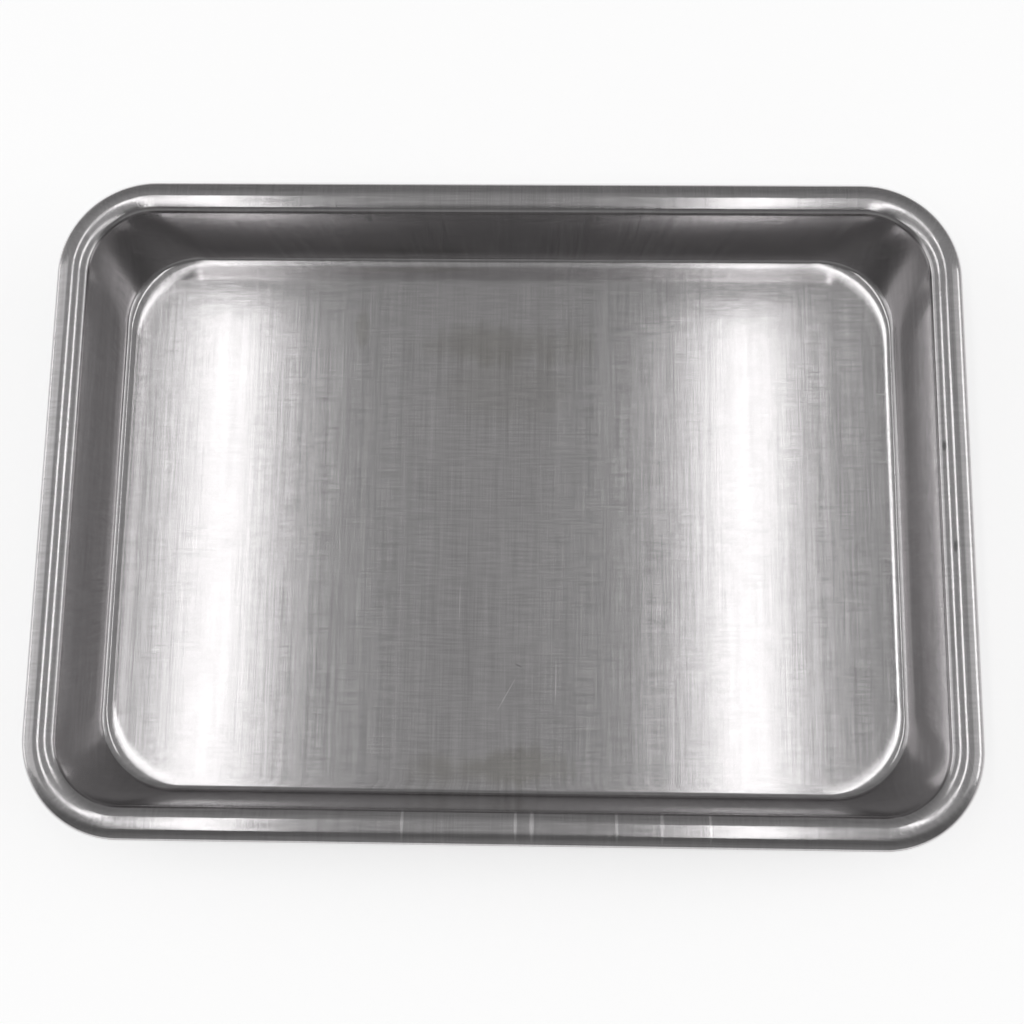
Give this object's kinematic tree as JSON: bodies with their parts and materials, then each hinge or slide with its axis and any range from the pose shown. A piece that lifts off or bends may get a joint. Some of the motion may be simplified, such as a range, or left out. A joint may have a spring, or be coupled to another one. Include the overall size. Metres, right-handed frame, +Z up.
{
  "type": "rolled-rim baking tray",
  "caption": "Shallow rectangular baking tray drawn from one steel sheet, with rounded corners, near-upright walls, a flat floor and a smooth rolled rim.",
  "frame": {"origin": "middle of the tray's underside, on the surface it stands on", "axes": "+X along the long side, +Y along the short side, +Z up out of the tray"},
  "size_m": [0.236, 0.17, 0.028],
  "materials": {
    "tray_steel": "satin, with fine scratches running across the tray's short side"
  },
  "bodies": {
    "root": {"tray": "tray_steel"}
  },
  "joints": []
}
